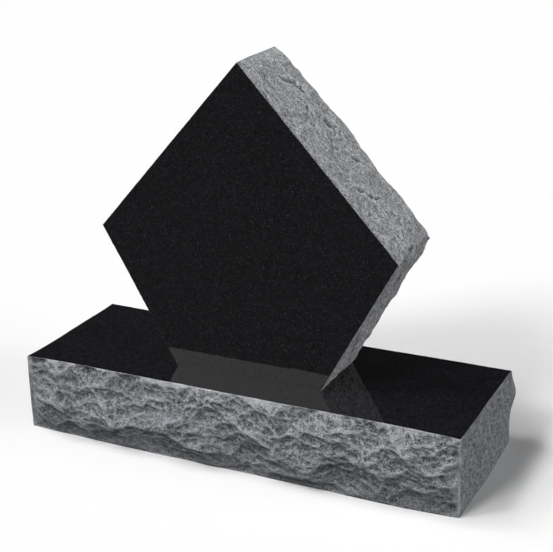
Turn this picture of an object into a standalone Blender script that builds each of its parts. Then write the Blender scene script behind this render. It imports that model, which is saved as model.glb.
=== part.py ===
"""Black granite memorial: a diamond-shaped upright tablet standing on a long low base.

The tablet's front and back and the top and underside of the base are sawn flat. Every
other side is rock-pitched: a mason strikes along both arrises and each blow spalls off a
shell of stone, so the side swells out to a crest of crossing shells between two nearly
straight arrises.

Metres, +Z up. The origin is the middle of the base's underside. The tablet's polished
face looks along -Y, and the long side of the base lies along X.
"""

import bpy
import numpy as np

# The base: the size of its sawn top, which the pitched sides stand proud of.
BASE_LENGTH = 0.902
BASE_DEPTH = 0.305
BASE_HEIGHT = 0.155

# The tablet: a five-sided outline, cut to one thickness.
TABLET_WIDTH = 0.610
TABLET_HEIGHT = 0.610
TABLET_THICKNESS = 0.152
SHOULDER_HEIGHT = 0.274
FOOT_WIDTH = 0.305

# The tablet stands in the middle of the base, on a joint of this height.
JOINT_GAP = 0.0003

# How the faceted solids are divided: the length of one facet around and across a side.
FACET_AROUND = 0.0125
FACET_ACROSS = 0.0128

# Rock-pitched sides. swell: how far the shells stand out where they cross. crest: where they
# cross, as a share of the way from the first arris to the second. spacing: how far apart
# the mason's blows fall. breaks: how deep the large and the middling breaks are. lips: how
# far the first and the second arris stand out. corners: how far the two corners stand out.
# bulges: how much more they do where the corners swell. kept: the share of the lips kept at
# the two corners. wander: how far the first and the
# second arris stray. reach: how soon the side rises from the first arris, the second arris
# and the corners. quiet: the share of the middling breaks lost at the second arris. salt:
# its own scatter. break_salts: the scatter of its breaks.
BASE_FRONT = {
    "swell": 0.022, "crest": 0.58, "breaks": (0.0240, 0.0120),
    "lips": (-0.005, 0.006), "corners": (0.000, 0.000), "bulges": (0.000, 0.000),
    "wander": (0.0008, 0.0016), "reach": (0.003, 0.030, 0.018), "quiet": 0.65,
    "salt": 11, "break_salts": (1, 143),
}
BASE_RIGHT = {
    "swell": 0.004, "crest": 0.40, "spacing": 0.085, "breaks": (0.0080, 0.0032),
    "lips": (0.000, 0.004), "corners": (0.000, 0.001), "bulges": (0.000, 0.008),
    "wander": (0.0008, 0.0014), "reach": (0.012, 0.016, 0.018), "salt": 23,
}
BASE_BACK = {
    "swell": 0.022, "crest": 0.36, "spacing": 0.115, "breaks": (0.0200, 0.0090),
    "lips": (0.000, 0.002), "corners": (0.000, 0.001), "bulges": (0.013, 0.006),
    "wander": (0.0008, 0.0014), "reach": (0.012, 0.016, 0.012), "salt": 37,
}
BASE_LEFT = {
    "swell": 0.005, "crest": 0.45, "spacing": 0.085, "breaks": (0.0070, 0.0030),
    "lips": (0.001, 0.003), "corners": (0.001, 0.006), "bulges": (0.005, 0.001),
    "wander": (0.0008, 0.0014), "reach": (0.010, 0.016, 0.010), "salt": 41,
}
TABLET_UPPER_RIGHT = {
    "swell": 0.008, "crest": 0.85, "spacing": 0.090, "breaks": (0.0060, 0.0024),
    "lips": (0.000, 0.0085), "corners": (0.000, 0.000), "bulges": (0.000, 0.000),
    "wander": (0.0002, 0.0012), "reach": (0.022, 0.006, 0.012), "salt": 93, "kept": (0.35, 0.0),
}
TABLET_UPPER_LEFT = {
    "swell": 0.005, "crest": 0.85, "spacing": 0.090, "breaks": (0.0030, 0.0020),
    "lips": (0.000, 0.0070), "corners": (0.000, 0.000), "bulges": (0.000, 0.000),
    "wander": (0.0002, 0.0012), "reach": (0.040, 0.010, 0.012), "salt": 113, "kept": (0.0, 0.35),
}
TABLET_LOWER_RIGHT = {
    "swell": 0.003, "crest": 0.85, "spacing": 0.090, "breaks": (0.0050, 0.0060),
    "lips": (0.000, 0.0015), "corners": (0.000, 0.001), "bulges": (0.000, 0.000),
    "wander": (0.0002, 0.0008), "reach": (0.022, 0.006, 0.010), "salt": 151, "kept": (0.0, 0.4),
}
TABLET_LOWER_LEFT = dict(TABLET_LOWER_RIGHT, salt=211, corners=(0.001, 0.000), kept=(0.4, 0.0))

# Where the corners swell and over what length, as shares of the way between the arrises.
CORNER_BULGE_AT = 0.32
CORNER_BULGE_SPAN = 0.19

# Blows along the front of the base, as shares of its length, each with how deep it bit. The
# upper ones open the pale notches that hang from the top arris, the lower ones the dark
# peaks that stand between the notches.
FRONT_UPPER_BLOWS = (
    (0.022, 0.004), (0.133, 0.003), (0.233, 0.002), (0.449, 0.000),
    (0.649, 0.001), (0.826, 0.004), (0.976, 0.003),
)
FRONT_LOWER_BLOWS = (
    (0.033, 0.004), (0.111, 0.002), (0.205, 0.005), (0.322, 0.000),
    (0.532, 0.000), (0.748, -0.002), (0.876, 0.001), (0.987, 0.001),
)

# How much wider than high a shell spreads, and how blows scatter along an arris and in depth.
SHELL_SPREAD = 1.25
BLOW_SCATTER = 0.6
BLOW_DEPTH = 0.006

# The large and the middling breaks: spacing, slant of their rows, how much wider than tall.
FAMILIES = ((0.066, 0.0, 1.6), (0.034, -0.3, 1.6))
# How far each is pushed about, so no ridge is ruled straight: spacing and reach of the push.
DRIFTS = ((0.050, 0.0080), (0.020, 0.0040))
MIDDLE_OF_FACES = 0.30

# One broken face: its least lean and how much more it may lean, its hollow and its height.
NEIGHBOURS = (-2, -1, 0, 1, 2)
LEAN_LEAST = 0.20
LEAN_MORE = 0.60
HOLLOW = 0.60
HEIGHTS = 0.50

# How soon the middling breaks begin at the two arrises and the corners.
FINE_REACH = (0.0012, 0.005, 0.004)

# Arrises stray over this spacing, and their lips fade towards the corners over this length.
WANDER_SPACING = 0.050
LIP_FADE = 0.050

# No stone of the tablet hangs below its bed: near the foot its sides rise no steeper than
# this, and fall away no faster than the inset.
FOOT_SLOPE = 1.0
FOOT_INSET = 0.3


def chance(i, j, salt):
    """A number from 0 to 1 for each whole cell (i, j): its bits are mixed by multiplying."""
    mixed = (i.astype(np.int64) * 73856093) ^ (j.astype(np.int64) * 19349663) ^ (salt * 83492791)
    mixed = (mixed & 0x7FFFFFFF) * 1274126177
    mixed = ((mixed ^ (mixed >> 15)) & 0x7FFFFFFF) * 668265263
    mixed = mixed ^ (mixed >> 13)
    return (mixed & 0xFFFFFF) / float(0x1000000)


def drift(u, v, spacing, salt):
    """Smooth noise from -1 to 1: chances at the corners of square cells, eased between them."""
    column = np.floor(u / spacing)
    row = np.floor(v / spacing)
    across = u / spacing - column
    down = v / spacing - row
    across = across * across * (3.0 - 2.0 * across)
    down = down * down * (3.0 - 2.0 * down)
    upper = chance(column, row, salt) * (1.0 - across) + chance(column + 1, row, salt) * across
    lower = chance(column, row + 1, salt) * (1.0 - across) + chance(column + 1, row + 1, salt) * across
    return 2.0 * (upper * (1.0 - down) + lower * down) - 1.0


def facets(u, v, spacing, salt):
    """Broken faces from 0 to about 1: every square cell holds one leaning, slightly hollow face
    at a chance place, height and lean, and the lowest face at a place is the surface."""
    column = np.floor(u / spacing)
    row = np.floor(v / spacing)
    lowest = np.full(np.shape(u), np.inf)
    for step_u in NEIGHBOURS:
        for step_v in NEIGHBOURS:
            i = column + step_u
            j = row + step_v
            from_u = u / spacing - i - chance(i, j, salt)
            from_v = v / spacing - j - chance(i, j, salt + 1)
            turn = 2.0 * np.pi * chance(i, j, salt + 3)
            lean = LEAN_LEAST + LEAN_MORE * chance(i, j, salt + 4)
            leaning = lean * (np.cos(turn) * from_u + np.sin(turn) * from_v)
            hollow = HOLLOW * (from_u * from_u + from_v * from_v)
            lowest = np.minimum(lowest, HEIGHTS * chance(i, j, salt + 2) + leaning + hollow)
    return lowest


def shells(along, away, blows, slope):
    """Shells struck from one arris: each rises from its blow in proportion to the distance,
    and where shells cross the lowest is the surface."""
    lowest = np.full(np.shape(along), np.inf)
    for place, depth in blows:
        distance = np.hypot((along - place) / SHELL_SPREAD, away)
        lowest = np.minimum(lowest, depth + slope * distance)
    return lowest


def row_of_blows(length, spacing, salt):
    """Places and depths of a mason's blows along an arris: even steps, each moved by chance."""
    count = max(2, round(length / spacing))
    number = np.arange(count)
    moved = BLOW_SCATTER * (chance(number, number, salt) - 0.5)
    places = (number + 0.5 + moved) * length / count
    depths = BLOW_DEPTH * chance(number, number, salt + 1)
    return list(zip(places, depths))


def set_blows(length, blows):
    """Places and depths of blows given as shares of a side's length."""
    return [(share * length, depth) for share, depth in blows]


def eased(distance, reach):
    """A rise from 0 at an arris towards 1: one less a decay over the reach."""
    return 1.0 - np.exp(-distance / reach)


def breaks(along, across, depths, salts):
    """The large and the middling breaks about their means, each family times its own depth."""
    moved_along = along
    moved_across = across
    sums = []
    for number, (spacing, slant, stretch) in enumerate(FAMILIES):
        drift_spacing, reach = DRIFTS[number]
        salt = salts[0] + 20 * number
        moved_along = moved_along + reach * drift(along, across, drift_spacing, salt)
        moved_across = moved_across + reach * drift(along, across, drift_spacing, salt + 1)
        slanted = moved_along - slant * moved_across
        faces = facets(slanted, stretch * moved_across, spacing, salts[number + 1])
        sums.append(depths[number] * (faces - MIDDLE_OF_FACES))
    return sums


def pitched_side(along, across, length, width, side):
    """How far a rock-pitched side stands out at each place.

    along runs from 0 to length beside the arrises and across from 0 to width between them.
    Shells from the first arris meet shells from the second at the crest, and breaks are
    added to them. The sum is eased to the lips at the two arrises and the two corners.
    """
    salt = side["salt"]
    large_salt, middle_salt = side.get("break_salts", (salt + 6, salt + 30))
    large, middling = breaks(along, across, side["breaks"], (salt, large_salt, middle_salt))
    spacing, reach = DRIFTS[0]
    moved_along = along + reach * drift(along, across, spacing, salt)
    moved_across = across + reach * drift(along, across, spacing, salt + 1)
    first_blows = side.get("first_blows") or row_of_blows(length, side["spacing"], salt + 2)
    second_blows = side.get("second_blows") or row_of_blows(length, side["spacing"], salt + 4)
    crest = side["crest"] * width
    first = shells(moved_along, moved_across, first_blows, side["swell"] / crest)
    second = shells(moved_along, width - moved_across, second_blows, side["swell"] / (width - crest))
    surface = np.minimum(first, second) + large

    corner = np.minimum(along, length - along)
    share = across / width
    bulge = np.exp(-(((share - CORNER_BULGE_AT) / CORNER_BULGE_SPAN) ** 2))
    start, end = [base + more * bulge for base, more in zip(side["corners"], side["bulges"])]
    first_lip, second_lip = side["lips"]
    plain = first_lip * (1.0 - share) + second_lip * share
    start_kept, end_kept = side.get("kept", (0.0, 0.0))
    at_corner = np.where(along < length / 2, start + start_kept * plain, end + end_kept * plain)
    fade = np.exp(-corner / LIP_FADE)
    lip = at_corner * fade + plain * (1.0 - fade)
    first_wander, second_wander = side["wander"]
    wander = first_wander * (1.0 - share) + second_wander * share
    lip = lip + wander * (1.0 + drift(along, across, WANDER_SPACING, salt + 12))

    first_reach, second_reach, corner_reach = side["reach"]
    rise = eased(across, first_reach) * eased(width - across, second_reach) * eased(corner, corner_reach)
    first_reach, second_reach, corner_reach = FINE_REACH
    near_ends = eased(corner, corner_reach)
    fine_rise = eased(across, first_reach) * eased(width - across, second_reach) * near_ends
    return lip + surface * rise + middling * fine_rise * (1.0 - side.get("quiet", 0.0) * share)


def ring(corners, sides, width, across_axis, facet_around, facet_across):
    """A closed band of points around a five- or four-sided block.

    corners are the block's corners on its first flat face, in order, and across_axis is the
    direction from that face to the second, width away. sides gives for each stretch between
    corners its outward normal and a function of (along, across, length) for how far it
    stands out. Gives an array of rows across by columns around by 3.
    """
    rows = max(2, round(width / facet_across)) + 1
    across = np.linspace(0.0, width, rows)
    stretches = []
    for index, (normal, standing) in enumerate(sides):
        start = corners[index]
        end = corners[(index + 1) % len(corners)]
        length = float(np.linalg.norm(end - start))
        columns = max(1, round(length / facet_around))
        along = np.linspace(0.0, length, columns + 1)
        grid_along, grid_across = np.meshgrid(along, across)
        out = standing(grid_along, grid_across, length)
        points = start + (end - start) * (grid_along / length)[..., None]
        points = points + across_axis * grid_across[..., None]
        stretches.append((points, out[..., None] * normal))
    band = []
    for index, (points, out) in enumerate(stretches):
        before = stretches[index - 1][1]
        moved = points + out
        moved[:, 0] = points[:, 0] + out[:, 0] + before[:, -1]
        band.append(moved[:, :-1])
    return np.concatenate(band, axis=1)


def block_from_band(name, band):
    """One closed block: the band of quads, and a fan of triangles over each flat face."""
    rows, columns = band.shape[:2]
    number = np.arange(rows * columns).reshape(rows, columns)
    following = np.roll(number, -1, axis=1)
    quads = np.stack([number[:-1], number[1:], following[1:], following[:-1]], axis=-1)
    quads = quads.reshape(-1, 4)
    first_middle = rows * columns
    second_middle = first_middle + 1
    middles = np.stack([band[0].mean(axis=0), band[-1].mean(axis=0)])
    points = np.concatenate([band.reshape(-1, 3), middles])
    first_fan = [(first_middle, int(a), int(b)) for a, b in zip(number[0], following[0])]
    second_fan = [(second_middle, int(b), int(a)) for a, b in zip(number[-1], following[-1])]
    mesh = bpy.data.meshes.new(name)
    mesh.from_pydata(points.tolist(), [], quads.tolist() + first_fan + second_fan)
    mesh.validate()
    block = bpy.data.objects.new(name, mesh)
    bpy.context.scene.collection.objects.link(block)
    return block


def granite(name, colour, roughness):
    """Black granite: a dark dielectric stone."""
    material = bpy.data.materials.new(name)
    material.use_nodes = True
    shader = material.node_tree.nodes["Principled BSDF"]
    shader.inputs["Base Color"].default_value = (*colour, 1.0)
    shader.inputs["Roughness"].default_value = roughness
    shader.inputs["Metallic"].default_value = 0.0
    return material


def base_side(side):
    """A rock-pitched side of the base, from its top arris down."""
    def standing(along, across, length):
        return pitched_side(along, across, length, BASE_HEIGHT, side)
    return standing


def make_base():
    """The base: a sawn top and underside, and four rock-pitched sides."""
    x = BASE_LENGTH / 2
    y = BASE_DEPTH / 2
    plan = [(-x, -y), (x, -y), (x, y), (-x, y)]
    corners = np.array([(*place, BASE_HEIGHT) for place in plan])
    front = dict(
        BASE_FRONT,
        first_blows=set_blows(BASE_LENGTH, FRONT_UPPER_BLOWS),
        second_blows=set_blows(BASE_LENGTH, FRONT_LOWER_BLOWS),
    )
    sides = [
        (np.array((0.0, -1.0, 0.0)), base_side(front)),
        (np.array((1.0, 0.0, 0.0)), base_side(BASE_RIGHT)),
        (np.array((0.0, 1.0, 0.0)), base_side(BASE_BACK)),
        (np.array((-1.0, 0.0, 0.0)), base_side(BASE_LEFT)),
    ]
    down = np.array((0.0, 0.0, -1.0))
    band = ring(corners, sides, BASE_HEIGHT, down, FACET_AROUND, FACET_ACROSS)
    base = block_from_band("base", band)
    base.data.materials.append(granite("base_granite", (0.060, 0.062, 0.068), 0.45))
    return base


def tablet_side(side, foot_at_start=False, foot_at_end=False):
    """A rock-pitched side of the tablet, from its front arris back.

    Where the side ends at the foot it climbs from nothing, so no stone reaches below the bed.
    """
    def standing(along, across, length):
        out = pitched_side(along, across, length, TABLET_THICKNESS, side)
        if foot_at_start:
            out = np.clip(out, -FOOT_INSET * along, FOOT_SLOPE * along)
        if foot_at_end:
            out = np.clip(out, -FOOT_INSET * (length - along), FOOT_SLOPE * (length - along))
        return out
    return standing


def foot_side(along, across, length):
    """The sawn foot: it stands out nowhere."""
    return np.zeros(np.shape(along))


def make_tablet():
    """The tablet: sawn front, back and foot, and four rock-pitched sides."""
    bed = BASE_HEIGHT + JOINT_GAP
    shoulder = TABLET_WIDTH / 2
    foot = FOOT_WIDTH / 2
    outline = [
        (-foot, 0.0), (foot, 0.0), (shoulder, SHOULDER_HEIGHT),
        (0.0, TABLET_HEIGHT), (-shoulder, SHOULDER_HEIGHT),
    ]
    corners = np.array([(x, -TABLET_THICKNESS / 2, bed + z) for x, z in outline])
    surfaces = [
        foot_side,
        tablet_side(TABLET_LOWER_RIGHT, foot_at_start=True),
        tablet_side(TABLET_UPPER_RIGHT),
        tablet_side(TABLET_UPPER_LEFT),
        tablet_side(TABLET_LOWER_LEFT, foot_at_end=True),
    ]
    sides = []
    for index, surface in enumerate(surfaces):
        direction = corners[(index + 1) % len(corners)] - corners[index]
        normal = np.array((direction[2], 0.0, -direction[0])) / np.linalg.norm(direction)
        sides.append((normal, surface))
    back = np.array((0.0, 1.0, 0.0))
    band = ring(corners, sides, TABLET_THICKNESS, back, FACET_AROUND, FACET_ACROSS)
    tablet = block_from_band("tablet", band)
    tablet.data.materials.append(granite("tablet_granite", (0.012, 0.012, 0.014), 0.12))
    return tablet


def main():
    for old in list(bpy.data.objects):
        bpy.data.objects.remove(old)
    make_base()
    make_tablet()


main()
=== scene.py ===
# %% [markdown]
# # A diamond tablet of black granite on a rock-pitched base
#
# The memorial is two blocks of one dark stone. A mason saws a block flat, polishes the faces
# that will be read, and splits the other sides with a hammer and a pitching chisel. This
# lesson builds both blocks as dense meshes whose split sides are worked out with numpy, and
# gives them two finishes: the black mirror of the polish and the pale grey of broken stone.

import bpy
import numpy as np
from mathutils import Matrix, Vector


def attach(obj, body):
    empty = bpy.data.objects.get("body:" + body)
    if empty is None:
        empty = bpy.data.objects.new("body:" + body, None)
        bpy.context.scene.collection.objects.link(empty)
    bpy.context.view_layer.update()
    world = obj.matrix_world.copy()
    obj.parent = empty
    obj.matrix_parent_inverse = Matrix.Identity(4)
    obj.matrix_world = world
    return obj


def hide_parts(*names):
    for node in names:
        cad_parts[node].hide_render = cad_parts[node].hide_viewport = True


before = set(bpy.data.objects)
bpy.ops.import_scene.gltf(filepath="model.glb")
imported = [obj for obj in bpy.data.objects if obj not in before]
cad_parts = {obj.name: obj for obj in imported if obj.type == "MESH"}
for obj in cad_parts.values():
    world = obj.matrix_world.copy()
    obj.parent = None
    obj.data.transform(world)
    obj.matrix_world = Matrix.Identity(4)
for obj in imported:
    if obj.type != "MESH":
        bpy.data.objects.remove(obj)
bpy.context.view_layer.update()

# %% [markdown]
# ## The camera
#
# The photograph was taken from a little above, with the camera towards the right end of the
# base. Its place was found by fitting a perspective camera to the corners of the two blocks,
# so it is given as a place, two angles, a small roll and a lens, and not aimed by eye.

# %% Place the camera
CAMERA_PLACE = Vector((1.0317, -2.0383, 1.1945))
CAMERA_TURN = np.radians(26.162)
CAMERA_DIP = np.radians(20.553)
CAMERA_ROLL = np.radians(-1.431)
CAMERA_LENS_MM = 82.79
SENSOR_MM = 36.0


def make_camera():
    """A camera turned about Z, dipped below level, then rolled about its own line of sight."""
    data = bpy.data.cameras.new("camera")
    data.lens = CAMERA_LENS_MM
    data.sensor_fit = "HORIZONTAL"
    data.sensor_width = SENSOR_MM
    camera = bpy.data.objects.new("camera", data)
    turn = Matrix.Rotation(CAMERA_TURN, 4, "Z")
    dip = Matrix.Rotation(np.pi / 2 - CAMERA_DIP, 4, "X")
    roll = Matrix.Rotation(CAMERA_ROLL, 4, "Z")
    camera.matrix_world = Matrix.Translation(CAMERA_PLACE) @ turn @ dip @ roll
    bpy.context.scene.collection.objects.link(camera)
    bpy.context.scene.camera = camera
    return camera


camera = make_camera()
print("camera at", tuple(round(value, 3) for value in camera.location))

# %% [markdown]
# ## Chance that never changes
#
# Broken stone looks random, yet the script has to give the same stone every run. So chance
# comes from mixing the bits of whole numbers: each square cell of a grid has its own number
# from 0 to 1. Blending the numbers at a cell's corners gives smooth noise. Working on whole
# arrays at once, numpy does a hundred thousand points in a blink.

# %% Chance and smooth noise


def chance(i, j, salt):
    """A number from 0 to 1 for each whole cell (i, j): its bits are mixed by multiplying."""
    mixed = (i.astype(np.int64) * 73856093) ^ (j.astype(np.int64) * 19349663) ^ (salt * 83492791)
    mixed = (mixed & 0x7FFFFFFF) * 1274126177
    mixed = ((mixed ^ (mixed >> 15)) & 0x7FFFFFFF) * 668265263
    mixed = mixed ^ (mixed >> 13)
    return (mixed & 0xFFFFFF) / float(0x1000000)


def drift(u, v, spacing, salt):
    """Smooth noise from -1 to 1: chances at the corners of square cells, eased between them."""
    column = np.floor(u / spacing)
    row = np.floor(v / spacing)
    across = u / spacing - column
    down = v / spacing - row
    across = across * across * (3.0 - 2.0 * across)
    down = down * down * (3.0 - 2.0 * down)
    upper = chance(column, row, salt) * (1.0 - across) + chance(column + 1, row, salt) * across
    lower = chance(column, row + 1, salt) * (1.0 - across) + chance(column + 1, row + 1, salt) * across
    return 2.0 * (upper * (1.0 - down) + lower * down) - 1.0


# %% [markdown]
# ## How granite breaks
#
# Granite breaks into leaning, slightly hollow faces that meet in sharp ridges pointing out.
# If every small cell of the side holds one such face, and at each place the lowest face
# wins, the ridges appear by themselves where two faces cross.

# %% Broken faces
NEIGHBOURS = (-2, -1, 0, 1, 2)
LEAN_LEAST = 0.20
LEAN_MORE = 0.60
HOLLOW = 0.60
HEIGHTS = 0.50


def facets(u, v, spacing, salt):
    """Broken faces from 0 to about 1: every square cell holds one leaning, slightly hollow face
    at a chance place, height and lean, and the lowest face at a place is the surface."""
    column = np.floor(u / spacing)
    row = np.floor(v / spacing)
    lowest = np.full(np.shape(u), np.inf)
    for step_u in NEIGHBOURS:
        for step_v in NEIGHBOURS:
            i = column + step_u
            j = row + step_v
            from_u = u / spacing - i - chance(i, j, salt)
            from_v = v / spacing - j - chance(i, j, salt + 1)
            turn = 2.0 * np.pi * chance(i, j, salt + 3)
            lean = LEAN_LEAST + LEAN_MORE * chance(i, j, salt + 4)
            leaning = lean * (np.cos(turn) * from_u + np.sin(turn) * from_v)
            hollow = HOLLOW * (from_u * from_u + from_v * from_v)
            lowest = np.minimum(lowest, HEIGHTS * chance(i, j, salt + 2) + leaning + hollow)
    return lowest


# %% [markdown]
# ## Shells struck from the arrises
#
# The mason holds the pitching chisel on the arris, the sharp edge of the sawn block, and
# strikes. A shell of stone flies off, deepest under the blow. So the side climbs away from
# each blow like a shallow cone, first from the upper arris and then from the lower one, and
# swells to a zigzag crest where the two rows of cones meet.

# %% Shells and rows of blows
SHELL_SPREAD = 1.25
BLOW_SCATTER = 0.6
BLOW_DEPTH = 0.006


def shells(along, away, blows, slope):
    """Shells struck from one arris: each rises from its blow in proportion to the distance,
    and where shells cross the lowest is the surface."""
    lowest = np.full(np.shape(along), np.inf)
    for place, depth in blows:
        distance = np.hypot((along - place) / SHELL_SPREAD, away)
        lowest = np.minimum(lowest, depth + slope * distance)
    return lowest


def row_of_blows(length, spacing, salt):
    """Places and depths of a mason's blows along an arris: even steps, each moved by chance."""
    count = max(2, round(length / spacing))
    number = np.arange(count)
    moved = BLOW_SCATTER * (chance(number, number, salt) - 0.5)
    places = (number + 0.5 + moved) * length / count
    depths = BLOW_DEPTH * chance(number, number, salt + 1)
    return list(zip(places, depths))


def set_blows(length, blows):
    """Places and depths of blows given as shares of a side's length."""
    return [(share * length, depth) for share, depth in blows]


def eased(distance, reach):
    """A rise from 0 at an arris towards 1: one less a decay over the reach."""
    return 1.0 - np.exp(-distance / reach)


# %% [markdown]
# ## Breaks of four sizes
#
# A broken side looks alike at every size: faces a hand wide carry faces a finger wide, which
# carry faces of a few grains. So four families of broken faces are added up, each a half to
# a third the size of the last. The two largest are in the solid model too. The others are
# new here. Small drifts push all of them about, so that no ridge is ruled straight.

# %% The four families
# Each family: spacing of its faces, slant of its rows, and how much wider than tall a face is.
FAMILIES = (
    (0.066, 0.0, 1.6),
    (0.034, -0.3, 1.6),
    (0.012, 0.3, 1.5),
    (0.0060, -0.4, 1.4),
)
# Each drift: spacing and reach.
DRIFTS = ((0.050, 0.0080), (0.020, 0.0040), (0.007, 0.0014))
MIDDLE_OF_FACES = 0.30


def breaks(along, across, depths, salts):
    """The large breaks, and the sum of the finer ones, each family times its own depth."""
    moved_along = along
    moved_across = across
    sums = []
    for number, (spacing, slant, stretch) in enumerate(FAMILIES):
        if number < len(DRIFTS):
            drift_spacing, reach = DRIFTS[number]
            salt = salts[0] + 20 * number
            moved_along = moved_along + reach * drift(along, across, drift_spacing, salt)
            moved_across = moved_across + reach * drift(along, across, drift_spacing, salt + 1)
        slanted = moved_along - slant * moved_across
        sums.append(depths[number] * facets(slanted, stretch * moved_across, spacing, salts[number + 1]))
    large = sums[0] - MIDDLE_OF_FACES * depths[0]
    finer = sums[1] + sums[2] + sums[3] - MIDDLE_OF_FACES * sum(depths[1:])
    return large, finer


# %% [markdown]
# ## One rock-pitched side
#
# A side is the sum of all this, eased to the arrises. The stone between the arrises may
# stand proud, but each arris is a line the saw has cut, so it stays almost straight. Two
# more marks are listed where the stone shows them: dents, where a flake left a small
# scoop with one steep wall, and notches, where the far arris broke back in a step.

# %% Dents and notches
STEEP_WALL = 0.30
DENT_SHARE = 1.5
RAGGED = 0.0040
RAGGED_SPACING = 0.008
NOTCH_DROP = 0.0065
NOTCH_REACH = 0.022


def dents(along, across, marks, salt):
    """Small scoops: each is a bowl over a ragged ellipse, with one of its long walls steep."""
    total = np.zeros(np.shape(along))
    along = along + RAGGED * drift(along, across, RAGGED_SPACING, salt)
    across = across + RAGGED * drift(along, across, RAGGED_SPACING, salt + 1)
    for place, back, length, breadth, depth, turn in marks:
        cos, sin = np.cos(np.radians(turn)), np.sin(np.radians(turn))
        lengthways = (cos * (along - place) + sin * (across - back)) / (0.5 * length)
        sideways = (cos * (across - back) - sin * (along - place)) / (0.5 * breadth)
        sideways = np.where(sideways > 0.0, sideways / STEEP_WALL, sideways)
        total = total + DENT_SHARE * depth * np.maximum(1.0 - lengthways ** 2 - sideways ** 2, 0.0)
    return total


def notches(along, from_arris, marks):
    """Steps in an arris: each drops at once and climbs back over its length, and fades away
    from the arris."""
    total = np.zeros(np.shape(along))
    for place, length, depth in marks:
        into = (along - place) / NOTCH_DROP
        back = 1.0 - (along - place) / length
        total = total + depth * np.clip(np.minimum(into, back), 0.0, 1.0)
    return total * np.exp(-from_arris / NOTCH_REACH)


# %% The sum of a side
# Where corners swell most, as a share of the way across, and how far that spreads.
CORNER_BULGE_AT = 0.32
CORNER_BULGE_SPAN = 0.19
LIP_FADE = 0.050
WANDER_SPACING = 0.050
FINE_REACH = (0.0012, 0.005, 0.004)


def held_at_edges(across, width, corner, reach):
    """From 0 at the two arrises and the corners towards 1 inside: three eased rises multiplied."""
    first_reach, second_reach, corner_reach = reach
    return eased(across, first_reach) * eased(width - across, second_reach) * eased(corner, corner_reach)


def pitched_side(along, across, length, width, side):
    """How far a rock-pitched side stands out at each place.

    along runs from 0 to length beside the arrises and across from 0 to width between them.
    Shells from the first arris meet shells from the second at the crest, and breaks large
    and small are added to them. The sum is eased to the lips at the arrises and corners.
    Each use of chance adds its own step to the side's salt, so that no two of them agree.
    """
    salt = side["salt"]
    large_salt, middle_salt = side.get("break_salts", (salt + 6, salt + 30))
    salts = (salt, large_salt, middle_salt, salt + 40, salt + 50)
    large, fine = breaks(along, across, side["breaks"], salts)
    spacing, reach = DRIFTS[0]
    moved_along = along + reach * drift(along, across, spacing, salt)
    moved_across = across + reach * drift(along, across, spacing, salt + 1)
    first_blows = side.get("first_blows") or row_of_blows(length, side["spacing"], salt + 2)
    second_blows = side.get("second_blows") or row_of_blows(length, side["spacing"], salt + 4)
    crest = side["crest"] * width
    first = shells(moved_along, moved_across, first_blows, side["swell"] / crest)
    second = shells(moved_along, width - moved_across, second_blows, side["swell"] / (width - crest))
    surface = np.minimum(first, second) + large

    corner = np.minimum(along, length - along)
    share = across / width
    bulge = np.exp(-(((share - CORNER_BULGE_AT) / CORNER_BULGE_SPAN) ** 2))
    start, end = [plain + more * bulge for plain, more in zip(side["corners"], side["bulges"])]
    first_lip, second_lip = side["lips"]
    plain = first_lip * (1.0 - share) + second_lip * share
    start_kept, end_kept = side.get("kept", (0.0, 0.0))
    at_corner = np.where(along < length / 2, start + start_kept * plain, end + end_kept * plain)
    fade = np.exp(-corner / LIP_FADE)
    lip = at_corner * fade + plain * (1.0 - fade)
    first_wander, second_wander = side["wander"]
    wander = first_wander * (1.0 - share) + second_wander * share
    lip = lip + wander * (1.0 + drift(along, across, WANDER_SPACING, salt + 12))
    lip = lip - notches(length - along, width - across, side.get("notches", ()))

    rise = held_at_edges(across, width, corner, side["reach"])
    fine_rise = held_at_edges(across, width, corner, FINE_REACH)
    fine = fine - dents(length - along, across, side.get("dents", ()), salt + 80)
    return lip + surface * rise + fine * fine_rise * (1.0 - side.get("quiet", 0.0) * share)


# %% [markdown]
# ## Where the stone is bruised, and where light is painted on ridges
#
# Two tints belong to the shape, so they are worked out with it and kept as attributes of the
# mesh. Stone is bruised pale beside an arris that took blows. And ridges are made paler than
# hollows as painted light: a painted highlight on the ridges, with a little real bruising in
# it, and painted shade in the hollows. The difference between the surface and a softened copy
# of it says which is which.

# %% The two tints
BRUISE_REACH = 0.0020
CORNER_BRUISE_REACH = 0.0026
BRUISE_PATCH = 0.014
BRUISE_EVENNESS = 0.65
RIDGE_SOFTENING = 8
RIDGE_HEIGHT = 0.0006


def bruised(along, across, length, width, strengths, salt):
    """How bruised the stone is, from 0 to 1: a decay away from each arris, broken by noise."""
    first, second, start, end = strengths
    bruise = first * np.exp(-across / BRUISE_REACH)
    bruise = np.maximum(bruise, second * np.exp(-(width - across) / BRUISE_REACH))
    bruise = np.maximum(bruise, start * np.exp(-along / CORNER_BRUISE_REACH))
    bruise = np.maximum(bruise, end * np.exp(-(length - along) / CORNER_BRUISE_REACH))
    patches = drift(along, across, BRUISE_PATCH, salt + 70)
    return bruise * (BRUISE_EVENNESS + (1.0 - BRUISE_EVENNESS) * patches)


def softened(values, times):
    """Values averaged with their four neighbours again and again."""
    for _ in range(times):
        padded = np.pad(values, 1, mode="edge")
        values = (padded[:-2, 1:-1] + padded[2:, 1:-1] + padded[1:-1, :-2] + padded[1:-1, 2:]) / 4.0
    return values


def ridged(out):
    """Where ridges and hollows are, from -1 to 1: the surface less a softened copy of itself."""
    return np.clip((out - softened(out, RIDGE_SOFTENING)) / RIDGE_HEIGHT, -1.0, 1.0)


# %% [markdown]
# ## From sides to a block
#
# A block is a closed band of points around its flat faces, a row for every step from the
# first face to the second. Each side pushes its own points out along its own normal, and at
# a corner the pushes of both sides add up, so the band never opens. Two fans of triangles
# close the flat faces, which stay truly flat.

# %% The band
CHAMFER = 0.0004
SHARP = 0.00002


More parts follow.
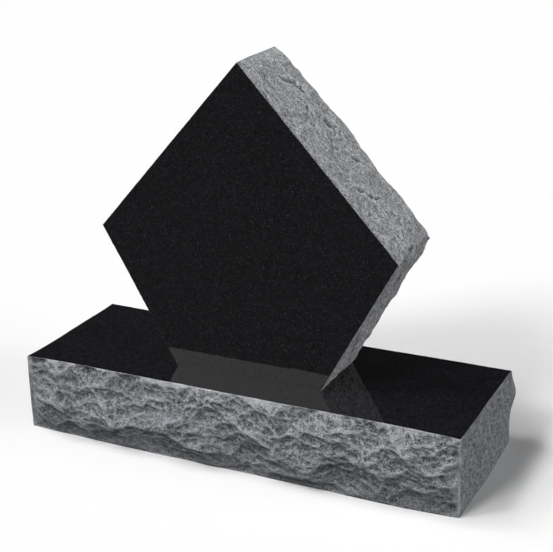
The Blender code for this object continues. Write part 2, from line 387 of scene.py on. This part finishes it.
def ring(corners, sides, width, across_axis, step_across):
    """A closed band of points around a block, with the two tints of every point.

    corners lie on the first flat face, in order; across_axis points to the second, width
    away. Each side is its normal, its spacing of columns, and a function that gives its
    standing and its bruise at (along, across, length).
    """
    rows = max(2, round(width / step_across)) + 1
    across = np.linspace(0.0, width, rows)
    stretches = []
    for index, (normal, step_around, surface) in enumerate(sides):
        start = corners[index]
        end = corners[(index + 1) % len(corners)]
        length = float(np.linalg.norm(end - start))
        columns = max(1, round(length / step_around))
        along = np.linspace(0.0, length, columns + 1)
        grid_along, grid_across = np.meshgrid(along, across)
        out, bruise = surface(grid_along, grid_across, length)
        points = start + (end - start) * (grid_along / length)[..., None]
        points = points + across_axis * grid_across[..., None]
        stretches.append((points, out[..., None] * normal, bruise, ridged(out)))
    band = []
    bruises = []
    ridges = []
    for index, (points, push, bruise, ridge) in enumerate(stretches):
        last_push = stretches[index - 1][1]
        moved = points + push
        moved[:, 0] = moved[:, 0] + last_push[:, -1]
        band.append(moved[:, :-1])
        bruises.append(bruise[:, :-1])
        ridges.append(ridge[:, :-1])
    tints = {"bruise": np.concatenate(bruises, axis=1), "ridge": np.concatenate(ridges, axis=1)}
    return np.concatenate(band, axis=1), tints


def blunt(band, tints, across_axis, sharp_below=0.0):
    """Blunts the two arrises: each outer row moves in from the flat face by the chamfer, and a
    new row on the flat face starts the same distance inside it. Points at or below
    sharp_below stay all but sharp."""
    new_rows = []
    for row, inward in ((band[0], across_axis), (band[-1], -across_axis)):
        middle = row.mean(axis=0)
        side = np.cross(np.roll(row, -1, axis=0) - np.roll(row, 1, axis=0), inward)
        side = side / np.linalg.norm(side, axis=1, keepdims=True)
        towards = np.sign(((middle - row) * side).sum(axis=1, keepdims=True))
        chamfer = np.where(row[:, 2:] > sharp_below, CHAMFER, SHARP)
        new_rows.append(row + chamfer * towards * side)
        row += chamfer * inward
    band = np.concatenate([new_rows[0][None], band, new_rows[1][None]])
    tints = {name: np.pad(values, ((1, 1), (0, 0)), mode="edge") for name, values in tints.items()}
    return band, tints


# %% The mesh of a block


def block_from_band(name, band, tints):
    """One closed block: the band of quads (material 1), and fans over the flat faces (0)."""
    rows, columns = band.shape[:2]
    number = np.arange(rows * columns).reshape(rows, columns)
    following = np.roll(number, -1, axis=1)
    quads = np.stack([number[:-1], number[1:], following[1:], following[:-1]], axis=-1)
    quads = quads.reshape(-1, 4)
    first_middle = rows * columns
    second_middle = first_middle + 1
    middles = np.stack([band[0].mean(axis=0), band[-1].mean(axis=0)])
    points = np.concatenate([band.reshape(-1, 3), middles])
    first_fan = np.stack([np.full(columns, first_middle), number[0], following[0]], axis=-1)
    second_fan = np.stack([np.full(columns, second_middle), following[-1], number[-1]], axis=-1)
    mesh = bpy.data.meshes.new(name)
    mesh.from_pydata(points.tolist(), [], quads.tolist() + first_fan.tolist() + second_fan.tolist())
    is_side = np.zeros(len(mesh.polygons), np.int32)
    is_side[: len(quads)] = 1
    mesh.polygons.foreach_set("material_index", is_side)
    mesh.polygons.foreach_set("use_smooth", is_side.astype(bool))
    for tint, values in tints.items():
        attribute = mesh.attributes.new(tint, "FLOAT", "POINT")
        attribute.data.foreach_set("value", np.append(values.ravel(), (0.0, 0.0)))
    mesh.update()
    block = bpy.data.objects.new(name, mesh)
    bpy.context.scene.collection.objects.link(block)
    print(name, "has", 2 * len(quads) + 2 * columns, "triangles")
    return block


# %% [markdown]
# ## The base
#
# The base is wide and low. Its front shows best: seven blows from the upper arris left pale
# notches, and eight from the lower one left dark peaks between them. Its ends are worked more
# gently, and its far right corner swells.
#
# Each side is a short list of a mason's habits:
# - swell is how far the shells stand out where they cross, and crest is where they cross, as
#   a share of the way from the first arris to the second. Blows fall a spacing apart.
# - breaks are the depths of the four families of broken faces.
# - lips are how far the first and the second arris stand out, and wander how far they stray.
# - corners are how far the two corners stand out, bulges how much more they do where they
#   swell, and kept the share of the lips that the corners keep.
# - reach is how soon the side rises from the first arris, the second arris and the corners.
# - quiet is the share of the finer breaks that is lost at the second arris.
# - bruise is how pale the first arris, the second arris and the two corners are.
# - salt is the side's own scatter, and break_salts that of its two largest families.

# %% Base sizes and sides
BASE_LENGTH = 0.902
BASE_DEPTH = 0.305
BASE_HEIGHT = 0.155
BASE_STEP_DOWN = 0.0016
FRONT_STEP = 0.0017
END_STEP = 0.0028
BACK_STEP = 0.0038

FRONT_UPPER_BLOWS = (
    (0.022, 0.004), (0.133, 0.003), (0.233, 0.002), (0.449, 0.000),
    (0.649, 0.001), (0.826, 0.004), (0.976, 0.003),
)
FRONT_LOWER_BLOWS = (
    (0.033, 0.004), (0.111, 0.002), (0.205, 0.005), (0.322, 0.000),
    (0.532, 0.000), (0.748, -0.002), (0.876, 0.001), (0.987, 0.001),
)
BASE_FRONT = {
    "swell": 0.022, "crest": 0.58, "breaks": (0.0250, 0.0150, 0.0060, 0.0022),
    "lips": (-0.005, 0.006), "corners": (0.000, 0.000), "bulges": (0.000, 0.000),
    "wander": (0.0008, 0.0016), "reach": (0.003, 0.030, 0.018), "salt": 11,
    "break_salts": (1, 143), "quiet": 0.65,
    "first_blows": set_blows(BASE_LENGTH, FRONT_UPPER_BLOWS),
    "second_blows": set_blows(BASE_LENGTH, FRONT_LOWER_BLOWS),
    "bruise": (1.0, 0.1, 0.2, 0.9),
}
BASE_RIGHT = {
    "swell": 0.004, "crest": 0.40, "spacing": 0.085, "breaks": (0.0080, 0.0036, 0.0024, 0.0018),
    "lips": (0.000, 0.004), "corners": (0.000, 0.001), "bulges": (0.000, 0.008),
    "wander": (0.0008, 0.0014), "reach": (0.012, 0.016, 0.018), "salt": 23,
    "bruise": (0.1, 0.1, 1.0, 0.1),
}
BASE_BACK = {
    "swell": 0.022, "crest": 0.36, "spacing": 0.115, "breaks": (0.0200, 0.0090, 0.0030, 0.0014),
    "lips": (0.000, 0.002), "corners": (0.000, 0.001), "bulges": (0.013, 0.006),
    "wander": (0.0008, 0.0014), "reach": (0.012, 0.016, 0.012), "salt": 37,
    "bruise": (0.6, 0.1, 0.2, 0.2),
}
BASE_LEFT = {
    "swell": 0.005, "crest": 0.45, "spacing": 0.085, "breaks": (0.0070, 0.0030, 0.0012, 0.0012),
    "lips": (0.001, 0.003), "corners": (0.001, 0.006), "bulges": (0.005, 0.001),
    "wander": (0.0008, 0.0014), "reach": (0.010, 0.016, 0.010), "salt": 41,
    "bruise": (0.1, 0.1, 0.1, 0.2),
}

# %% Make the base


def base_side(side):
    """A rock-pitched side of the base, from its top arris down, and its bruise."""
    def surface(along, across, length):
        out = pitched_side(along, across, length, BASE_HEIGHT, side)
        return out, bruised(along, across, length, BASE_HEIGHT, side["bruise"], side["salt"])
    return surface


def make_base():
    """The base: a sawn top and underside, and four rock-pitched sides."""
    x = BASE_LENGTH / 2
    y = BASE_DEPTH / 2
    plan = [(-x, -y), (x, -y), (x, y), (-x, y)]
    corners = np.array([(*place, BASE_HEIGHT) for place in plan])
    sides = [
        (np.array((0.0, -1.0, 0.0)), FRONT_STEP, base_side(BASE_FRONT)),
        (np.array((1.0, 0.0, 0.0)), END_STEP, base_side(BASE_RIGHT)),
        (np.array((0.0, 1.0, 0.0)), BACK_STEP, base_side(BASE_BACK)),
        (np.array((-1.0, 0.0, 0.0)), END_STEP, base_side(BASE_LEFT)),
    ]
    down = np.array((0.0, 0.0, -1.0))
    band, tints = ring(corners, sides, BASE_HEIGHT, down, BASE_STEP_DOWN)
    return block_from_band("base_stone", *blunt(band, tints, down))


base_stone = make_base()

# %% [markdown]
# ## The tablet
#
# The tablet is a five-sided slab. Its front and back are polished, and its foot is sawn to
# sit on the base. Its split edges are gentler than the base's, because a thin slab breaks
# straighter; they leave the front arris crisp and wander most at the back one. The dents
# and notches of the upper right edge are the ones that show best from the front. The foot
# all but touches the base, for no joint shows between the two mirrors.

# %% Tablet sizes and sides
TABLET_WIDTH = 0.610
TABLET_HEIGHT = 0.610
TABLET_THICKNESS = 0.152
SHOULDER_HEIGHT = 0.274
FOOT_WIDTH = 0.305
JOINT_GAP = 0.00003
FOOT_SLOPE = 1.0
TABLET_STEP = 0.0019
TABLET_STEP_BACK = 0.0017

# Dents of the upper right edge: place down the slope from the peak, place back from the front
# face, length, breadth, depth, and turn of the length in degrees.
UPPER_RIGHT_DENTS = (
    (0.070, 0.090, 0.050, 0.018, 0.0070, 48.0),
    (0.096, 0.106, 0.034, 0.026, 0.0090, 20.0),
    (0.146, 0.023, 0.026, 0.010, 0.0030, 8.0),
    (0.134, 0.077, 0.024, 0.009, 0.0026, 155.0),
    (0.161, 0.123, 0.014, 0.010, 0.0034, 10.0),
    (0.179, 0.105, 0.030, 0.022, 0.0080, 30.0),
    (0.198, 0.098, 0.018, 0.010, 0.0026, 150.0),
    (0.223, 0.077, 0.022, 0.010, 0.0036, 32.0),
    (0.240, 0.016, 0.018, 0.009, 0.0032, 10.0),
    (0.246, 0.056, 0.012, 0.008, 0.0020, 10.0),
    (0.262, 0.106, 0.036, 0.018, 0.0084, 42.0),
    (0.280, 0.118, 0.026, 0.012, 0.0046, 25.0),
    (0.308, 0.052, 0.032, 0.015, 0.0070, 48.0),
    (0.332, 0.072, 0.038, 0.013, 0.0062, 42.0),
    (0.358, 0.038, 0.018, 0.012, 0.0056, 10.0),
    (0.369, 0.012, 0.020, 0.008, 0.0026, 160.0),
    (0.352, 0.026, 0.014, 0.010, 0.0024, 80.0),
    (0.421, 0.054, 0.026, 0.012, 0.0036, 12.0),
    (0.446, 0.066, 0.026, 0.022, 0.0070, 70.0),
)
# Notches of its back arris: place down the slope from the peak, length, depth.
UPPER_RIGHT_NOTCHES = (
    (0.040, 0.022, 0.0055),
    (0.070, 0.040, 0.0030),
    (0.150, 0.030, 0.0040),
    (0.240, 0.026, 0.0045),
    (0.292, 0.036, 0.0020),
    (0.368, 0.080, 0.0045),
)
UPPER_RIGHT = {
    "swell": 0.008, "crest": 0.85, "spacing": 0.090, "breaks": (0.0060, 0.0040, 0.0015, 0.0010),
    "lips": (0.000, 0.0085), "corners": (0.000, 0.000), "bulges": (0.000, 0.000),
    "wander": (0.0002, 0.0012), "reach": (0.022, 0.006, 0.012), "salt": 93, "kept": (0.35, 0.0),
    "dents": UPPER_RIGHT_DENTS, "notches": UPPER_RIGHT_NOTCHES,
    "bruise": (0.15, 0.1, 0.2, 0.5),
}
UPPER_LEFT = {
    "swell": 0.005, "crest": 0.85, "spacing": 0.090, "breaks": (0.0030, 0.0020, 0.0012, 0.0012),
    "lips": (0.000, 0.0070), "corners": (0.000, 0.000), "bulges": (0.000, 0.000),
    "wander": (0.0002, 0.0012), "reach": (0.040, 0.010, 0.012), "salt": 113, "kept": (0.0, 0.35),
    "bruise": (0.15, 0.1, 0.2, 0.2),
}
LOWER_RIGHT = {
    "swell": 0.003, "crest": 0.85, "spacing": 0.090, "breaks": (0.0050, 0.0060, 0.0028, 0.0020),
    "lips": (0.000, 0.0015), "corners": (0.000, 0.001), "bulges": (0.000, 0.000),
    "wander": (0.0002, 0.0008), "reach": (0.022, 0.006, 0.010), "salt": 151, "kept": (0.0, 0.4),
    "bruise": (0.15, 0.1, 0.1, 0.9),
}
LOWER_LEFT = dict(
    LOWER_RIGHT, salt=211, corners=(0.001, 0.000), kept=(0.4, 0.0), bruise=(0.1, 0.1, 0.2, 0.1),
)

# %% Make the tablet
FOOT_INSET = 0.3


def tablet_side(side, foot_at_start=False, foot_at_end=False):
    """A rock-pitched side of the tablet, from its front arris back, and its bruise.

    Where the side ends at the foot it climbs from nothing, so no stone reaches below the bed.
    """
    def surface(along, across, length):
        out = pitched_side(along, across, length, TABLET_THICKNESS, side)
        if foot_at_start:
            out = np.clip(out, -FOOT_INSET * along, FOOT_SLOPE * along)
        if foot_at_end:
            out = np.clip(out, -FOOT_INSET * (length - along), FOOT_SLOPE * (length - along))
        return out, bruised(along, across, length, TABLET_THICKNESS, side["bruise"], side["salt"])
    return surface


def foot_side(along, across, length):
    """The sawn foot: it stands out nowhere, and nothing bruised it."""
    flat = np.zeros(np.shape(along))
    return flat, flat


def make_tablet():
    """The tablet: sawn front, back and foot, and four rock-pitched sides."""
    bed = BASE_HEIGHT + JOINT_GAP
    shoulder = TABLET_WIDTH / 2
    foot = FOOT_WIDTH / 2
    outline = [
        (-foot, 0.0), (foot, 0.0), (shoulder, SHOULDER_HEIGHT),
        (0.0, TABLET_HEIGHT), (-shoulder, SHOULDER_HEIGHT),
    ]
    corners = np.array([(x, -TABLET_THICKNESS / 2, bed + z) for x, z in outline])
    surfaces = [
        foot_side,
        tablet_side(LOWER_RIGHT, foot_at_start=True),
        tablet_side(UPPER_RIGHT),
        tablet_side(UPPER_LEFT),
        tablet_side(LOWER_LEFT, foot_at_end=True),
    ]
    sides = []
    for index, surface in enumerate(surfaces):
        direction = corners[(index + 1) % len(corners)] - corners[index]
        normal = np.array((direction[2], 0.0, -direction[0])) / np.linalg.norm(direction)
        sides.append((normal, TABLET_STEP, surface))
    back = np.array((0.0, 1.0, 0.0))
    band, tints = ring(corners, sides, TABLET_THICKNESS, back, TABLET_STEP_BACK)
    return block_from_band("tablet_stone", *blunt(band, tints, back, bed + CHAMFER))


tablet_stone = make_tablet()

# %% [markdown]
# ## Building materials from small steps
#
# A material is a graph of nodes. One short helper adds a node, sets its plain values and
# joins its inputs, so that the finishes below can be read from top to bottom.

# %% A helper for nodes


def add(tree, kind, settings=None, **inputs):
    """Adds a node of a kind, sets its settings, and sets or joins each input by its name, or by
    its number where that is written i0, i1 and so on."""
    node = tree.nodes.new(kind)
    for name, value in (settings or {}).items():
        setattr(node, name, value)
    for name, value in inputs.items():
        numbered = name[0] == "i" and name[1:].isdigit()
        socket = node.inputs[int(name[1:]) if numbered else name]
        if isinstance(value, bpy.types.NodeSocket):
            tree.links.new(value, socket)
        else:
            socket.default_value = value
    return node


def mathed(tree, operation, first, second=0.0, clamp=False):
    """One Math node: its result as a socket."""
    settings = {"operation": operation, "use_clamp": clamp}
    return add(tree, "ShaderNodeMath", settings, i0=first, i1=second).outputs[0]


def ramped(tree, value, low, high, start=0.0, end=1.0):
    """A straight ramp: low becomes start and high becomes end, and it stops there."""
    ramp = add(tree, "ShaderNodeMapRange", {"clamp": True})
    for number, item in enumerate((value, low, high, start, end)):
        if isinstance(item, bpy.types.NodeSocket):
            tree.links.new(item, ramp.inputs[number])
        else:
            ramp.inputs[number].default_value = item
    return ramp.outputs[0]


def blended(tree, share, first, second):
    """A mix of two colours."""
    mix = add(tree, "ShaderNodeMix", {"data_type": "RGBA"})
    for number, item in ((0, share), (6, first), (7, second)):
        if isinstance(item, bpy.types.NodeSocket):
            tree.links.new(item, mix.inputs[number])
        else:
            mix.inputs[number].default_value = item
    return mix.outputs[2]


# %% [markdown]
# ## The grain of the stone
#
# Granite is a tight mosaic of crystals one to three millimetres wide. Both finishes show it,
# so it is a node group: Voronoi cells stand for crystals, each with a chance tone, and the
# rarest tones become pale flecks. The polish darkens the mosaic until only flecks are left.

# %% The crystal group
FINER_CRYSTALS = 2.3
COARSE_SHARE = 0.6
FLECK_EDGE = 0.02
FLECK_RIM = 0.45
FLECK_CORE = 0.25


def crystal_group():
    """Crystals on Object coordinates: a tone for each crystal, and a mask of pale flecks."""
    group = bpy.data.node_groups.new("crystals", "ShaderNodeTree")
    group.interface.new_socket("Crystals per metre", in_out="INPUT", socket_type="NodeSocketFloat")
    group.interface.new_socket("Fleck share", in_out="INPUT", socket_type="NodeSocketFloat")
    group.interface.new_socket("Tone", in_out="OUTPUT", socket_type="NodeSocketFloat")
    group.interface.new_socket("Fleck", in_out="OUTPUT", socket_type="NodeSocketFloat")
    given = group.nodes.new("NodeGroupInput")
    place = add(group, "ShaderNodeTexCoord").outputs["Object"]
    coarse = add(group, "ShaderNodeTexVoronoi", Vector=place, Scale=given.outputs[0], Randomness=1.0)
    finer = mathed(group, "MULTIPLY", given.outputs[0], FINER_CRYSTALS)
    fine = add(group, "ShaderNodeTexVoronoi", Vector=place, Scale=finer, Randomness=1.0)
    coarse_tone = add(group, "ShaderNodeSeparateColor", i0=coarse.outputs["Color"]).outputs[0]
    fine_tone = add(group, "ShaderNodeSeparateColor", i0=fine.outputs["Color"]).outputs[1]
    coarse_part = mathed(group, "MULTIPLY", coarse_tone, COARSE_SHARE)
    fine_part = mathed(group, "MULTIPLY", fine_tone, 1.0 - COARSE_SHARE)
    tone = mathed(group, "ADD", coarse_part, fine_part)
    rare = mathed(group, "SUBTRACT", 1.0, given.outputs[1])
    chosen = ramped(group, fine_tone, rare, mathed(group, "ADD", rare, FLECK_EDGE))
    near = ramped(group, fine.outputs["Distance"], FLECK_RIM, FLECK_CORE)
    result = group.nodes.new("NodeGroupOutput")
    group.links.new(tone, result.inputs[0])
    group.links.new(mathed(group, "MULTIPLY", chosen, near), result.inputs[1])
    return group


crystals = crystal_group()

# %% [markdown]
# ## Polished black granite
#
# Polish turns the stone nearly black, since light now enters the crystals instead of
# scattering off them. What is left is a clear gloss, a very dark ground and sparse pale
# flecks of mica. The gloss comes from the shader's own reflection, not from paint.

# %% The polish
POLISH_GROUND = (0.0084, 0.0079, 0.0094)
POLISH_FLECK = (0.080, 0.080, 0.085, 1.0)
POLISH_CRYSTALS = 240.0
POLISH_FLECK_SHARE = 0.05
POLISH_TONES = (0.45, 1.65)
POLISH_ROUGHNESS = 0.045
GRANITE_IOR = 1.54


def polished_material():
    """Nearly black stone with sparse flecks and a clear gloss."""
    material = bpy.data.materials.new("polished_granite")
    material.use_nodes = True
    tree = material.node_tree
    shader = tree.nodes["Principled BSDF"]
    grain = add(tree, "ShaderNodeGroup", {"node_tree": crystals})
    grain.inputs["Crystals per metre"].default_value = POLISH_CRYSTALS
    grain.inputs["Fleck share"].default_value = POLISH_FLECK_SHARE
    toned = ramped(tree, grain.outputs["Tone"], 0.15, 0.85, *POLISH_TONES)
    ground = add(tree, "ShaderNodeVectorMath", {"operation": "SCALE"}, i0=POLISH_GROUND)
    tree.links.new(toned, ground.inputs["Scale"])
    colour = blended(tree, grain.outputs["Fleck"], ground.outputs[0], POLISH_FLECK)
    tree.links.new(colour, shader.inputs["Base Color"])
    shader.inputs["Roughness"].default_value = POLISH_ROUGHNESS
    shader.inputs["IOR"].default_value = GRANITE_IOR
    return material


polished = polished_material()

# %% [markdown]
# ## Broken granite
#
# A broken face scatters light from thousands of tiny crystal faces, so the same black stone
# looks mid grey, a little blue. Bruised stone beside the arrises is paler still, where the
# chisel crushed it. A little bump under the mesh gives the crystals their own small faces.

# %% The broken stone
BASE_BROKEN = ((0.026, 0.027, 0.029, 1.0), (0.535, 0.557, 0.590, 1.0))
# The tablet's broken stone is the base's granite made paler, so that its sides read brighter: painted
# light.
TABLET_BROKEN_PAINTED_PALER = ((0.020, 0.021, 0.022, 1.0), (0.760, 0.778, 0.807, 1.0))
BRUISED = (0.740, 0.750, 0.770, 1.0)
BROKEN_CRYSTALS = 500.0
BROKEN_ROUGHNESS = 0.62
DUST_PER_METRE = 900.0
# Chips left where grains broke out: how many per metre, and how deep in millimetres.
CHIPS = ((260.0, 1.2), (560.0, 1.6))
MILLIMETRE = 0.001
# How much ridges are painted paler and hollows darker: painted highlight and painted shade.
RIDGE_PAINTED_LIGHT = 0.21


def broken_material(name, tones):
    """Grey crystals, paler on bruises, with a painted highlight on ridges and painted shade in hollows,
    and hollow chips a few millimetres wide.
    """
    material = bpy.data.materials.new(name)
    material.use_nodes = True
    tree = material.node_tree
    shader = tree.nodes["Principled BSDF"]
    place = add(tree, "ShaderNodeTexCoord").outputs["Object"]
    grain = add(tree, "ShaderNodeGroup", {"node_tree": crystals})
    grain.inputs["Crystals per metre"].default_value = BROKEN_CRYSTALS
    ridge = add(tree, "ShaderNodeAttribute", {"attribute_name": "ridge"}).outputs["Fac"]
    # Painted light: a painted highlight on ridges and painted shade in hollows.
    painted_ridge_light = mathed(tree, "MULTIPLY", ridge, RIDGE_PAINTED_LIGHT)
    share = mathed(tree, "ADD", grain.outputs["Tone"], painted_ridge_light, clamp=True)
    colour = blended(tree, share, *tones)
    bruise = add(tree, "ShaderNodeAttribute", {"attribute_name": "bruise"}).outputs["Fac"]
    colour = blended(tree, bruise, colour, BRUISED)
    tree.links.new(colour, shader.inputs["Base Color"])
    shader.inputs["Roughness"].default_value = BROKEN_ROUGHNESS
    shader.inputs["IOR"].default_value = GRANITE_IOR
    height = add(tree, "ShaderNodeTexNoise", Vector=place, Scale=DUST_PER_METRE, Detail=2.0).outputs[0]
    for chips_per_metre, depth_mm in CHIPS:
        chips = add(tree, "ShaderNodeTexVoronoi", Vector=place, Scale=chips_per_metre)
        depth = mathed(tree, "MULTIPLY", chips.outputs["Distance"], depth_mm)
        height = mathed(tree, "ADD", height, depth)
    bump = add(tree, "ShaderNodeBump", Strength=1.0, Distance=MILLIMETRE, Height=height)
    tree.links.new(bump.outputs[0], shader.inputs["Normal"])
    return material


base_broken = broken_material("rock_pitched_base", BASE_BROKEN)
tablet_broken = broken_material("rock_pitched_tablet", TABLET_BROKEN_PAINTED_PALER)

# %% [markdown]
# ## Dress the blocks
#
# Each block carries both finishes: the flat faces take the first, the split sides the second.
# It replaces the plain solid of the same stone, which is hidden.

# %% Materials, bodies and slots


def dress(block, broken, node):
    """Gives a block its two finishes, hangs it on the root body and hides the solid it stands for."""
    block.data.materials.append(polished)
    block.data.materials.append(broken)
    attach(block, "root")
    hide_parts(node)


dress(base_stone, base_broken, "base")
dress(tablet_stone, tablet_broken, "tablet")

# %% [markdown]
# ## Studio
#
# The photograph has a white ground with one soft shadow falling back and to the right. The
# world is white only to the camera. What the polish mirrors is a dark studio with a dim floor,
# so it stays black, and one low panel in front shows twice, where the two blocks mirror it to
# and fro. What lights the broken stone is a set of soft suns from chosen directions.

# %% The world
AMBIENT = 0.055
MIRRORED_CEILING = 0.024
MIRRORED_FLOOR = 0.110


def make_world():
    """White to the camera, a dim soft light to stone, and a dark room to the polish."""
    world = bpy.data.worlds.new("studio")
    world.use_nodes = True
    tree = world.node_tree
    tree.nodes.clear()
    path = add(tree, "ShaderNodeLightPath")
    place = add(tree, "ShaderNodeTexCoord").outputs["Generated"]
    height = add(tree, "ShaderNodeSeparateXYZ", Vector=place).outputs["Z"]
    mirrored = ramped(tree, height, -0.10, 0.02, MIRRORED_FLOOR, MIRRORED_CEILING)
    white = add(tree, "ShaderNodeBackground", Color=(1.0, 1.0, 1.0, 1.0), Strength=1.0)
    soft = add(tree, "ShaderNodeBackground", Color=(0.97, 0.98, 1.0, 1.0), Strength=AMBIENT)
    dark = add(tree, "ShaderNodeBackground", Color=(0.95, 0.95, 1.0, 1.0), Strength=mirrored)
    is_glossy = path.outputs["Is Glossy Ray"]
    is_camera = path.outputs["Is Camera Ray"]
    seen = add(tree, "ShaderNodeMixShader", i0=is_glossy, i1=soft.outputs[0], i2=dark.outputs[0])
    final = add(tree, "ShaderNodeMixShader", i0=is_camera, i1=seen.outputs[0], i2=white.outputs[0])
    result = add(tree, "ShaderNodeOutputWorld")
    tree.links.new(final.outputs[0], result.inputs[0])
    bpy.context.scene.world = world


make_world()

# %% The floor
FLOOR_HALF = 14.0
FLOOR_WHITE = (0.93, 0.93, 0.93, 1.0)


def make_floor():
    """A wide white floor that lights nothing and mirrors in nothing."""
    mesh = bpy.data.meshes.new("floor")
    corners = [(-1, -1), (1, -1), (1, 1), (-1, 1)]
    mesh.from_pydata([(FLOOR_HALF * x, FLOOR_HALF * y, 0.0) for x, y in corners], [], [(0, 1, 2, 3)])
    floor = bpy.data.objects.new("floor", mesh)
    bpy.context.scene.collection.objects.link(floor)
    material = bpy.data.materials.new("floor_white")
    material.use_nodes = True
    shader = material.node_tree.nodes["Principled BSDF"]
    shader.inputs["Base Color"].default_value = FLOOR_WHITE
    shader.inputs["Roughness"].default_value = 1.0
    shader.inputs["Specular IOR Level"].default_value = 0.0
    mesh.materials.append(material)
    floor.visible_glossy = False
    floor.visible_diffuse = False
    return floor


make_floor()

# %% The lamps
# Each sun: the way to it, its brightness on a surface that faces it, and its width in degrees.
SUNS = {
    "key": ((-0.42, -0.34, 0.84), 0.320, 12.0),
    "key_wide": ((-0.60, -0.50, 0.62), 0.110, 25.0),
    "front": ((-0.30, -0.72, 0.63), 0.445, 16.0),
    "left": ((-0.60, -0.03, 0.80), 0.335, 24.0),
    "right": ((0.97, 0.02, 0.21), 0.590, 40.0),
}
PANEL_PLACE = (-1.24, -2.52, 1.25)
PANEL_SIZE = (1.2, 0.9)
PANEL_WATTS = 15.5
AIM = (0.0, 0.0, 0.20)


def add_lamp(name, kind, place, towards):
    """A lamp of a kind at a place, which shines towards a direction."""
    lamp = bpy.data.lights.new(name, kind)
    holder = bpy.data.objects.new(name, lamp)
    turn = Vector(towards).to_track_quat("-Z", "Y").to_matrix().to_4x4()
    holder.matrix_world = Matrix.Translation(place) @ turn
    bpy.context.scene.collection.objects.link(holder)
    return holder


for name, (direction, brightness, width) in SUNS.items():
    sun = add_lamp(name, "SUN", 3.0 * Vector(direction), -Vector(direction))
    sun.data.energy = np.pi * brightness
    sun.data.angle = np.radians(width)
    sun.visible_glossy = False

panel = add_lamp("front_panel", "AREA", PANEL_PLACE, Vector(AIM) - Vector(PANEL_PLACE))
panel.data.shape = "RECTANGLE"
panel.data.size, panel.data.size_y = PANEL_SIZE
panel.data.energy = PANEL_WATTS
panel.visible_diffuse = False

bpy.context.scene.view_settings.view_transform = "Standard"
